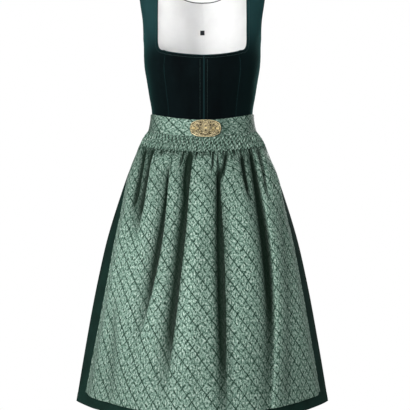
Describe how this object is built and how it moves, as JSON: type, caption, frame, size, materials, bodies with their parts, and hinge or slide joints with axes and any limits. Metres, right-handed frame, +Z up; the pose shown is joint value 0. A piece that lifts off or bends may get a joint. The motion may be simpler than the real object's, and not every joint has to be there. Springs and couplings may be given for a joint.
{
  "type": "dirndl dress",
  "caption": "Sleeveless dirndl: fitted velvet bodice, gathered midi skirt and jacquard apron with clasped waistband, hollow as worn.",
  "frame": {"origin": "midway between the tops of the two shoulder straps, where the wearer's shoulders hold the dress", "axes": "+Z up, front facing -Y, +X to the wearer's left"},
  "size_m": [0.604, 0.5403, 1.0648],
  "materials": {
    "velvet": "dark bottle-green velvet with a short dense pile",
    "skirt_cloth": "dark green matt plain-woven cloth",
    "jacquard": "sage-green satin jacquard with a small diamond pattern",
    "lining_cloth": "white cotton lining",
    "gilt": "cast openwork with an antique gilt finish",
    "woven_tab": "plain dark woven tab"
  },
  "bodies": {
    "root": {"bodice_front_left": "velvet", "bodice_front_right": "velvet", "bodice_side_front_left": "velvet", "bodice_side_front_right": "velvet", "bodice_side_back_left": "velvet", "bodice_side_back_right": "velvet", "bodice_back_left": "velvet", "bodice_back_right": "velvet", "neck_piping": "velvet", "lining_back_left": "lining_cloth", "lining_back_right": "lining_cloth", "lining_side_back_left": "lining_cloth", "lining_side_back_right": "lining_cloth", "size_tab": "woven_tab", "skirt_front": "skirt_cloth", "skirt_back_left": "skirt_cloth", "skirt_back_right": "skirt_cloth", "apron_band_left": "jacquard", "apron_band_right": "jacquard", "apron_gathers": "jacquard", "apron_skirt": "jacquard", "clasp_left": "gilt", "clasp_right": "gilt", "clasp_medallion": "gilt"}
  },
  "joints": []
}
